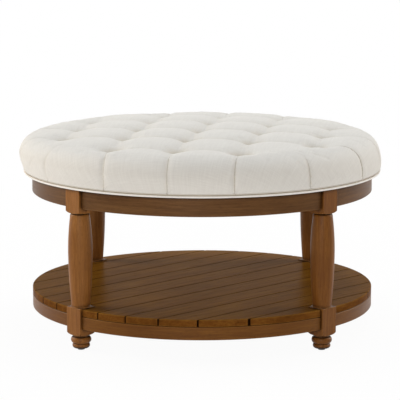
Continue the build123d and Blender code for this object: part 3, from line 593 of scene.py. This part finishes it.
def ring_grid(step):
    """Ring number and azimuth of every point of a square grid that reads every step-th ring. For
    |i| >= |j| the ring is |i| and the azimuth is j / i eighths of a turn from the X axis, and
    otherwise the ring is |j| and the azimuth is i / j eighths back from the Y axis."""
    line = np.arange(-RINGS, RINGS + 1, step)
    i, j = np.meshgrid(line, line, indexing="ij")
    wide = np.abs(i) >= np.abs(j)
    ring = np.maximum(np.abs(i), np.abs(j))
    larger, smaller = np.where(wide, i, j), np.where(wide, j, i)
    lean = np.pi / 4 * smaller / np.where(larger == 0, 1, larger)
    azimuth = np.where(wide, lean, np.pi / 2 - lean) + np.where(larger < 0, np.pi, 0)
    return ring, azimuth + TUFT_ANGLE


ring, azimuth = ring_grid(1)
print("grid:", ring.shape, "first corner ring:", ring[0, 0])

# %% [markdown]
# A pleat is a valley between two puffs. Its bottom hangs between the tufts like a slack rope: deep
# at each tuft and shallow half-way. Across it the foam rises as a dome. Past the outermost tufts
# the cloth is drawn a little round, so there the pleats turn anticlockwise by 3.5 degrees, run out
# over the shoulder and narrow to folds on the side, where one side of each overlaps the other.
# Where valleys meet, a smooth maximum joins them, the fourth root of the sum of fourth powers.
#
# All the stitches are drawn down to one level, while the cushion is crowned, so tufts and valleys
# are deepest in the middle: a share that falls from 1 there to 0 at 330 mm deepens both. The whole
# cushion also leans 7 mm to the left above its hem, because the photographed one does.

# %% Pleats and tufts
VALLEY_DEPTH_MM = 6.0
PLEAT_DEPTH_MM = 17.0
PLEAT_REACH_MM = 30.0
PLEAT_POWER = 1.3
VALLEY_WIDTH_MM = 58.0
VALLEY_ROUND_MM = 5.0
MIDDLE_VALLEY_MM = 3.0
MIDDLE_PLEAT_MM = 10.0
MIDDLE_REACH_MM = 330.0
TUFT_DEPTH_MM = 34.0
TUFT_REACH_MM = 28.0
TUFT_POWER = 1.5
PUCKER_DEPTH_MM = 1.1
PUCKER_REACH_MM = 26.0
PUCKERS = 9
SIDE_DEPTH_MM = 2.6
SIDE_WIDTH_MM = 14.0
SIDE_ROUND_MM = 2.0
SIDE_START_MM = 75.0
SIDE_END_MM = 35.0
FOLD_START_MM = 8.0
FOLD_RUN_MM = 40.0
FOLD_STEP_MM = 1.0
FOLD_REACH_MM = 9.0
CORNER_FOLD = 0.85
CORNER_START_MM = 18.0
FOOT_REACH_MM = 8.0
FOOT_SHADE_LINE = 0.8
FAR_MM = 20.0
LAST_TUFT = 2
LEAN_MM = -7.0
LEAN_REACH_MM = 50.0
OUTER_TURN = math.radians(3.5)
TURN_REACH_MM = 30.0
CORNER_TURN = math.radians(0.7)


def ease(share):
    """A share from 0 to 1 that starts and ends gently: 3 s squared minus 2 s cubed."""
    held = np.clip(share, 0, 1)
    return held * held * (3 - 2 * held)


def tuft_place(i, j):
    """Plan position of a point of the tuft grid, in millimetres."""
    cosine, sine = math.cos(TUFT_ANGLE), math.sin(TUFT_ANGLE)
    return (TUFT_CENTRE_MM[0] + TUFT_PITCH_MM * (i * cosine - j * sine),
            TUFT_CENTRE_MM[1] + TUFT_PITCH_MM * (i * sine + j * cosine))


def grid_place(x, y):
    """Place on the tuft grid of a plan position, as two distances in millimetres."""
    cosine, sine = math.cos(TUFT_ANGLE), math.sin(TUFT_ANGLE)
    dx, dy = x - TUFT_CENTRE_MM[0], y - TUFT_CENTRE_MM[1]
    return dx * cosine + dy * sine, dy * cosine - dx * sine


def pleat_line(across, along, number, hand, down):
    """Depth of one pleat line, signed distance from it and share of its fold. Past the last tuft by
    a length u the line turns by an angle t, so the distance is offset cos t - u sin t, where the
    offset counts anticlockwise from the way out. Hand is 1 for lines along the grid's first axis
    and -1 for the others, and down is how far over the shoulder a point lies."""
    short = abs(number) == LAST_TUFT
    last = LAST_TUFT - 1 if short else LAST_TUFT
    cells = along / TUFT_PITCH_MM
    nearest = np.clip(np.round(cells), -last, last)
    from_tuft = np.abs(cells - nearest) * TUFT_PITCH_MM
    beyond = np.maximum(np.abs(cells) - last, 0) * TUFT_PITCH_MM
    turn = 0 if short else OUTER_TURN * ease(beyond / TURN_REACH_MM)
    way_out = hand * np.where(along < 0, -1, 1)
    distance = way_out * (across - number * TUFT_PITCH_MM) * np.cos(turn) - beyond * np.sin(turn)
    hang = np.exp(-(from_tuft / PLEAT_REACH_MM) ** PLEAT_POWER)
    middle = np.clip(1 - (across ** 2 + along ** 2) / MIDDLE_REACH_MM ** 2, 0, 1)
    shallow = VALLEY_DEPTH_MM + MIDDLE_VALLEY_MM * middle + (SIDE_DEPTH_MM - VALLEY_DEPTH_MM) * down
    fold = ease((beyond - FOLD_START_MM) / FOLD_RUN_MM) * down
    if short:
        shallow = shallow * (1 - ease(down * 2 - 0.2))
        fold = 0 * fold
    bottom = shallow + (PLEAT_DEPTH_MM - VALLEY_DEPTH_MM + MIDDLE_PLEAT_MM * middle) * hang
    width = VALLEY_WIDTH_MM + (SIDE_WIDTH_MM - VALLEY_WIDTH_MM) * down
    round_off = VALLEY_ROUND_MM + (SIDE_ROUND_MM - VALLEY_ROUND_MM) * down
    soft = np.sqrt(distance ** 2 + round_off ** 2) - round_off
    return bottom * np.clip(1 - soft / width, 0, 1) ** 2, distance, fold


def corner_pleat(radius, azimuth, length, i, j):
    """The same three values for the pleat that runs down the side from a corner of the grid."""
    corner_x, corner_y = tuft_place(i, j)
    turn = azimuth - math.atan2(corner_y, corner_x) - CORNER_TURN
    distance = radius * np.sin(turn) + np.where(np.cos(turn) < 0, 1e3, 0)
    fold = CORNER_FOLD * ease((length - crown_length - CORNER_START_MM) / FOLD_RUN_MM)
    pressed = fold * SIDE_DEPTH_MM * np.clip(1 - np.abs(distance) / SIDE_WIDTH_MM, 0, 1) ** 2
    return pressed, distance, fold


def lean(length):
    """How far the cushion is moved to the right at a length down its profile: all of LEAN_MM on
    top, eased to nothing at the foot."""
    return LEAN_MM * ease((flank_length - length) / LEAN_REACH_MM)


def press(ring, azimuth):
    """What is pressed in at each grid point: depth, lift of the overlapping side of a fold, signed
    distance from the nearest fold and that fold's share. Pleats keep their places in the room, so
    they are measured from the point's leaned place."""
    length = ring_length[ring]
    x, y = profile[ring, 0] * np.cos(azimuth) + lean(length), profile[ring, 0] * np.sin(azimuth)
    radius, azimuth = np.hypot(x, y), np.arctan2(y, x)
    along, across = grid_place(x, y)
    start, end = crown_length - SIDE_START_MM, bulge_length - SIDE_END_MM
    down = ease((length - start) / (end - start))
    numbers = range(-LAST_TUFT, LAST_TUFT + 1)
    lines = [pleat_line(first, second, number, hand, down) for number in numbers
             for first, second, hand in ((across, along, 1), (along, across, -1))]
    lines += [corner_pleat(radius, azimuth, length, i, j)
              for i in (-LAST_TUFT, LAST_TUFT) for j in (-LAST_TUFT, LAST_TUFT)]
    total = sum(pressed ** 4 for pressed, _, _ in lines)
    lift = sum(FOLD_STEP_MM * fold * np.sign(distance) * np.exp(-np.abs(distance) / FOLD_REACH_MM)
               for _, distance, fold in lines)
    closest = np.full(radius.shape, FAR_MM)
    share = np.zeros(radius.shape)
    for _, distance, fold in lines:
        closer = (fold > 0) & (np.abs(distance) < np.abs(closest))
        closest = np.where(closer, distance, closest)
        share = np.where(closer, fold, share)
    for i in numbers:
        for j in numbers:
            if abs(i) + abs(j) < 2 * LAST_TUFT:
                beside, behind = along - i * TUFT_PITCH_MM, across - j * TUFT_PITCH_MM
                away = np.hypot(beside, behind)
                pucker = np.sin(PUCKERS * np.arctan2(behind, beside) + 2.1 * i + 3.7 * j)
                near = np.exp(-(away / PUCKER_REACH_MM) ** 2) * ease(away / 12)
                total += (TUFT_DEPTH_MM * np.exp(-(away / TUFT_REACH_MM) ** TUFT_POWER)) ** 4
                lift -= PUCKER_DEPTH_MM * pucker * near
    depth = total ** 0.25
    from_foot = length - flank_length
    foot = ease(-from_foot / FOOT_REACH_MM)
    # The foot's share draws a painted shade line in the crease above the welt.
    nearer = np.abs(from_foot) < np.abs(closest)
    share = np.where(nearer, FOOT_SHADE_LINE, share)
    closest = np.where(nearer, from_foot, closest)
    share = share * ease(2 - 2 * np.abs(closest) / FAR_MM) * (from_foot < FOOT_REACH_MM / 2)
    return depth * foot, lift * foot, closest, share


def cushion_points(ring, azimuth):
    """Points of the pressed cushion, in millimetres: the profile turned to the azimuth, moved along
    the profile's normal by the lift less the depth. Also the distance and share of the folds."""
    slope = np.gradient(profile, axis=0)
    normal = np.column_stack((-slope[:, 1], slope[:, 0])) / np.linalg.norm(slope, axis=1)[:, None]
    depth, lift, distance, fold = press(ring, azimuth)
    move = lift - depth
    radius = profile[ring, 0] + normal[ring, 0] * move
    height = profile[ring, 1] + normal[ring, 1] * move
    points = np.stack((radius * np.cos(azimuth), radius * np.sin(azimuth), height), axis=-1)
    points[..., 0] += lean(ring_length[ring])
    return points, distance, fold


points, pleat_distance, fold_share = cushion_points(ring, azimuth)
print("cushion spans", points.reshape(-1, 3).min(0).round(1), points.reshape(-1, 3).max(0).round(1))

# %% [markdown]
# ## Inflating the cushion
#
# Formulas give the plan of the pleats, but not the way that real cloth swells between its stitches.
# So a coarser copy of the grid becomes a cloth in Blender's simulation: it is held at the tufts and
# the hem, held loosely along the pleats, and pressure fills it for 20 frames. What each point moved
# is held under a cap, which it nears as a hyperbolic tangent does, spread to the fine grid by cubic
# weights and added to the formula's surface.

# %% Cloth simulation on the coarse grid
FRAMES = 20
PRESSURE = 2.0
CLOTH_GROWTH = -0.004
MOVE_CAP_MM = 2.6
PLEAT_HOLD = 0.35
PLEAT_HOLD_MM = 7.0
TUFT_HOLD_MM = 12.0
FOOT_HOLD_MM = 22.0
FOOT_HOLD_RUN_MM = 14.0
HOLD_STEPS = 20


def grid_faces(count):
    """Quads of a square grid with that many points on each side, with their faces outwards."""
    start = (np.arange(count - 1)[:, None] * count + np.arange(count - 1)).ravel()
    return np.column_stack((start, start + count, start + count + 1, start + 1))


def mesh_object(name, points_mm, faces):
    """A mesh object from points in millimetres and faces, linked to the scene."""
    mesh = bpy.data.meshes.new(name)
    mesh.from_pydata((points_mm * MM).tolist(), [], faces)
    mesh.update()
    made = bpy.data.objects.new(name, mesh)
    scene.collection.objects.link(made)
    return made


def read_points(mesh):
    """All vertex places of a mesh, in millimetres."""
    flat = np.empty(len(mesh.vertices) * 3)
    mesh.vertices.foreach_get("co", flat)
    return flat.reshape(-1, 3) / MM


def simulated_move():
    """How far each point of the coarse grid moves in the cloth simulation, in millimetres."""
    coarse_ring, coarse_azimuth = ring_grid(2)
    start = cushion_points(coarse_ring, coarse_azimuth)[0]
    count = start.shape[0]
    cloth = mesh_object("cloth_trial", start.reshape(-1, 3), grid_faces(count).tolist())
    length = ring_length[coarse_ring].ravel()
    along, across = grid_place(start[..., 0].ravel(), start[..., 1].ravel())
    cells = np.clip(np.round(np.array((along, across)) / TUFT_PITCH_MM), -LAST_TUFT, LAST_TUFT)
    beside, behind = along - cells[0] * TUFT_PITCH_MM, across - cells[1] * TUFT_PITCH_MM
    from_tuft = np.hypot(beside, behind)
    corner = np.abs(cells).sum(0) == 2 * LAST_TUFT
    from_line = np.minimum(np.abs(beside), np.abs(behind))
    hold = PLEAT_HOLD * np.exp(-(from_line / PLEAT_HOLD_MM) ** 2)
    hold = np.where((from_tuft < TUFT_HOLD_MM) & ~corner, 1.0, hold)
    hold = np.maximum(hold, ease((length - flank_length + FOOT_HOLD_MM) / FOOT_HOLD_RUN_MM))
    group = cloth.vertex_groups.new(name="held")
    steps = np.round(hold * HOLD_STEPS).astype(int)
    for step in range(1, HOLD_STEPS + 1):
        group.add(np.flatnonzero(steps == step).tolist(), step / HOLD_STEPS, "REPLACE")
    modifier = cloth.modifiers.new("cloth", "CLOTH")
    setting = modifier.settings
    setting.quality = 6
    setting.mass = 0.25
    setting.tension_stiffness = setting.compression_stiffness = 18.0
    setting.bending_stiffness = 0.4
    setting.use_pressure = True
    setting.uniform_pressure_force = PRESSURE
    setting.shrink_min = CLOTH_GROWTH
    setting.vertex_group_mass = "held"
    setting.effector_weights.gravity = 0.0
    modifier.collision_settings.use_collision = False
    for number in range(1, FRAMES + 1):
        scene.frame_set(number)
    settled = cloth.evaluated_get(bpy.context.evaluated_depsgraph_get()).to_mesh()
    move = read_points(settled).reshape(start.shape) - start
    bpy.data.objects.remove(cloth)
    scene.frame_set(1)
    size = np.linalg.norm(move, axis=-1, keepdims=True)
    print("simulated move, mm: mean", size.mean().round(2), "largest", size.max().round(1))
    return move * MOVE_CAP_MM * np.tanh(size / MOVE_CAP_MM) / np.maximum(size, 1e-6)


def spread(coarse):
    """Brings a coarse grid to twice its count less one: kept points, and between two of them nine
    sixteenths of each less one sixteenth of the next ones out."""
    count = coarse.shape[0]
    weights = np.zeros((2 * count - 1, count))
    weights[np.arange(0, 2 * count, 2), np.arange(count)] = 1
    odd = np.arange(count - 1)
    weights[2 * odd + 1, odd] = weights[2 * odd + 1, odd + 1] = 0.5
    inner = odd[1:-1]
    weights[2 * inner + 1, inner] = weights[2 * inner + 1, inner + 1] = 9 / 16
    weights[2 * inner + 1, inner - 1] = weights[2 * inner + 1, inner + 2] = -1 / 16
    return np.einsum("ai,bj,ijk->abk", weights, weights, coarse, optimize=True)


points = points + spread(simulated_move())
print("cushion spans", points.reshape(-1, 3).min(0).round(1), points.reshape(-1, 3).max(0).round(1))

# %% [markdown]
# ## The cushion's mesh
#
# The fine grid becomes quads. From its outer edge, which is the cut edge of the hem, a lining of
# plain rings goes back over the board to the middle, so that the cushion is one closed body round
# the board's space. The UV map is the cloth laid flat: the length down the profile as the distance
# from the middle, in the direction of the azimuth.

# %% Build the cushion
def border(count):
    """Indexes of a square grid's outer points, once round, in the direction of rising azimuth."""
    table = np.arange(count * count).reshape(count, count)
    return np.concatenate((table[-1, :-1], table[::-1, -1][:-1], table[0, ::-1][:-1],
                           table[:-1, 0]))


def closed_cushion(name, points, azimuth, **attributes):
    """The cushion's object: its grid, and rings from the hem's edge to a middle point inside."""
    count = points.shape[0]
    edge = border(count)
    edge_azimuth = azimuth.ravel()[edge]
    rings = [np.column_stack((radius * np.cos(edge_azimuth), radius * np.sin(edge_azimuth),
                              np.full(len(edge), height))) for radius, height in LINING_MM]
    every = np.vstack([points.reshape(-1, 3), *rings, [[0.0, 0.0, LINING_MM[-1][1]]]])
    faces = [grid_faces(count)]
    before = edge
    for number in range(len(LINING_MM)):
        after = count * count + number * len(edge) + np.arange(len(edge))
        faces.append(np.column_stack((before, after, np.roll(after, -1), np.roll(before, -1))))
        before = after
    fan = np.column_stack((before, np.full(len(edge), len(every) - 1), np.roll(before, -1)))
    made = mesh_object(name, every, np.vstack(faces).tolist() + fan.tolist())
    made.data.shade_smooth()
    for label, values in attributes.items():
        stored = made.data.attributes.new(label, "FLOAT", "POINT")
        inside = np.zeros(len(every) - values.size)
        stored.data.foreach_set("value", np.concatenate((values.ravel(), inside)))
    return made


def lay_flat(made, flat_m):
    """Gives an object the UV map named cloth, from one flat place in metres for each vertex."""
    corners = np.empty(len(made.data.loops), dtype=np.int64)
    made.data.loops.foreach_get("vertex_index", corners)
    layer = made.data.uv_layers.new(name="cloth")
    layer.data.foreach_set("uv", flat_m[corners].ravel())


cushion = closed_cushion("tufted_cushion", points, azimuth, pleat_distance=pleat_distance,
                         fold_share=fold_share)
flat = (ring_length[ring] * MM)[..., None] * np.stack((np.cos(azimuth - TUFT_ANGLE),
                                                        np.sin(azimuth - TUFT_ANGLE)), axis=-1)
flat = flat.reshape(-1, 2)
inside = read_points(cushion.data)[len(flat):, :2] * MM
lay_flat(cushion, np.vstack((flat, inside)))
cushion.data.materials.append(seat_linen)
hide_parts("seat_cover", "seat_foam")
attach(cushion, "root")
print("cushion faces:", len(cushion.data.polygons))

# %% [markdown]
# ## The welt
#
# A welt is a cord wrapped in a strip of the same cloth, cut on the bias. It sits in the corner
# between cushion and apron, with its flat flange nailed between the two. A Blender curve with a
# bevel would give a plain tube. A profile carried round the ring can also hold the flange, and its
# radius can swell and pinch a little, as cloth does when it is pulled round a curve.

# %% Build the welt
WELT_RING_MM = 448.5
WELT_RADIUS_MM = 2.8
WELT_HEIGHT_MM = 400.8
FLANGE_INNER_MM = 416.0
FLANGE_BOTTOM_MM = 398.0
FLANGE_TOP_MM = 398.8
WELT_SLACK_MM = 0.1
WELT_PINCHES = ((0.07, 61, 0.0), (0.06, 97, 1.3), (0.05, 23, 0.4))
WELT_STATIONS = 960
WELT_SIDES = 14


def welt_points():
    """Points of the welt by station and side: a circle with a flat tail, in radius and height,
    with the circle's radius changed by three slow sine waves."""
    turn = np.linspace(0, 2 * np.pi, WELT_STATIONS, endpoint=False)[:, None]
    drop = WELT_HEIGHT_MM - FLANGE_TOP_MM
    end = 2 * np.pi - math.acos(drop / WELT_RADIUS_MM)
    around = np.linspace(0, end, WELT_SIDES)[None, :]
    pinch = sum(size * np.sin(waves * turn + phase) for size, waves, phase in WELT_PINCHES)
    size = WELT_RADIUS_MM - WELT_SLACK_MM + pinch * (1 - np.cos(around)) / 2
    radius = WELT_RING_MM + size * np.sin(around)
    height = WELT_HEIGHT_MM - size * np.cos(around)
    height[:, 0] = FLANGE_BOTTOM_MM
    height[:, -1] = FLANGE_TOP_MM
    tail_radius = np.full((WELT_STATIONS, 2), FLANGE_INNER_MM)
    tail_height = np.tile((FLANGE_TOP_MM, FLANGE_BOTTOM_MM), (WELT_STATIONS, 1))
    radius, height = np.hstack((radius, tail_radius)), np.hstack((height, tail_height))
    return np.stack((radius * np.cos(turn), radius * np.sin(turn), height), axis=-1)


def ring_faces(stations, sides):
    """Quads of a profile carried round a closed ring, closed both ways."""
    station = np.arange(stations)[:, None]
    side = np.arange(sides)[None, :]
    after, beside = (station + 1) % stations, (side + 1) % sides
    corners = (station * sides + side, after * sides + side,
               after * sides + beside, station * sides + beside)
    return np.stack(np.broadcast_arrays(*corners), axis=-1).reshape(-1, 4)


welt_grid = welt_points()
welt_faces = ring_faces(WELT_STATIONS, WELT_SIDES + 2)
welt = mesh_object("corded_welt", welt_grid.reshape(-1, 3), welt_faces.tolist())
welt.data.shade_smooth()
welt_along = np.linspace(0, 2 * math.pi * WELT_RING_MM * MM, WELT_STATIONS)[:, None]
welt_across = distances(welt_grid[0][:, [0, 2]])[None, :] * MM
on_the_bias = np.broadcast_arrays(welt_along + welt_across, welt_along - welt_across)
lay_flat(welt, np.stack(on_the_bias, axis=-1).reshape(-1, 2))
welt.data.materials.append(lit_welt_linen)
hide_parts("welt_cover", "welt_tape")
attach(welt, "root")
print("welt faces:", len(welt.data.polygons))

# %% [markdown]
# ## The dust cover
#
# Under the board, a sheet of thin black spun cloth hides the staples and the twine. It is stretched
# flat, so it is a disc of one small thickness. A filled circle would do, but rings give it a top,
# a rim and an underside in one array. Its surface is random bonded fibre, a fine felt-like noise.

# %% Build the dust cover
DUST_RADIUS_MM = 395.6
DUST_TOP_MM = 400.1
DUST_THICKNESS_MM = 0.7
DUST_RINGS = 30
DUST_SECTORS = 180


def dust_sheet(name):
    """A closed thin disc: rings from the middle of the top out to the rim, and back underneath."""
    out = np.linspace(0, DUST_RADIUS_MM, DUST_RINGS + 1)[1:]
    radius = np.concatenate((out, out[::-1]))[:, None]
    low = DUST_TOP_MM - DUST_THICKNESS_MM
    height = np.repeat((DUST_TOP_MM, low), DUST_RINGS)[:, None]
    turn = np.linspace(0, 2 * np.pi, DUST_SECTORS, endpoint=False)[None, :]
    body = np.broadcast_arrays(radius * np.cos(turn), radius * np.sin(turn), height)
    body = np.stack(body, axis=-1).reshape(-1, 3)
    every = np.vstack((body, [[0, 0, DUST_TOP_MM], [0, 0, low]]))
    row = np.arange(len(radius) - 1)[:, None] * DUST_SECTORS
    column = np.arange(DUST_SECTORS)[None, :]
    beside = (column + 1) % DUST_SECTORS
    corners = (row + column, row + DUST_SECTORS + column, row + DUST_SECTORS + beside, row + beside)
    quads = np.stack(np.broadcast_arrays(*corners), axis=-1).reshape(-1, 4)
    first = np.arange(DUST_SECTORS)
    last = (len(radius) - 1) * DUST_SECTORS + first
    top_fan = np.column_stack((np.full(DUST_SECTORS, len(body)), first, np.roll(first, -1)))
    low_fan = np.column_stack((np.full(DUST_SECTORS, len(body) + 1), np.roll(last, -1), last))
    return mesh_object(name, every, quads.tolist() + top_fan.tolist() + low_fan.tolist())


dust_cloth = speckled("black_spunbond_cloth", "#26262A", 0.22, 1.8, 0.2, Roughness=0.92)
dust_cover = dust_sheet("dust_sheet")
dust_cover.data.materials.append(dust_cloth)
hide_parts("dust_cover")
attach(dust_cover, "root")
print("dust sheet faces:", len(dust_cover.data.polygons))

# %% [markdown]
# ## Dressing the solids
#
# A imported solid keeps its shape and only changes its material. The names of the nodes say what each
# one is, so a table from the start of a name to a material does it in one loop.

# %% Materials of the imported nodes
STEEL_NODES = ("leg_bolts", "leg_washers", "leg_nuts", "glide_nails", "batten_screws",
               "rail_screws", "apron_screws", "seat_screws", "cover_staples", "tuft_washers")
DRESS = dict.fromkeys(STEEL_NODES, zinc_steel)
# The front right leg takes the darker copy of the leg wood, which is painted shade.
DRESS.update({
    "leg_front_right": shaded_turned_wood, "leg_": turned_wood, "shelf_plank_": shelf_wood,
    "shelf_batten_": raw_wood, "corner_brace_": raw_wood, "glide_pads": glide_plastic,
    "tuft_clips": clip_plastic, "tuft_twines": waxed_twine, "welt_cord": waxed_twine,
    "seat_board": seat_plywood, "seat_cover": seat_linen, "seat_foam": seat_foam,
    "welt_cover": lit_welt_linen, "welt_tape": lit_welt_linen, "dust_cover": dust_cloth,
})
DRESS.update({"apron_" + side: wood for side, wood in apron_woods.items()})
DRESS.update({"shelf_rail_" + side: wood for side, wood in rail_woods.items()})

for name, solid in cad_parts.items():
    finish = next(DRESS[start] for start in DRESS if name.startswith(start))
    solid.data.materials.clear()
    solid.data.materials.append(finish)
print("dressed:", len(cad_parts))
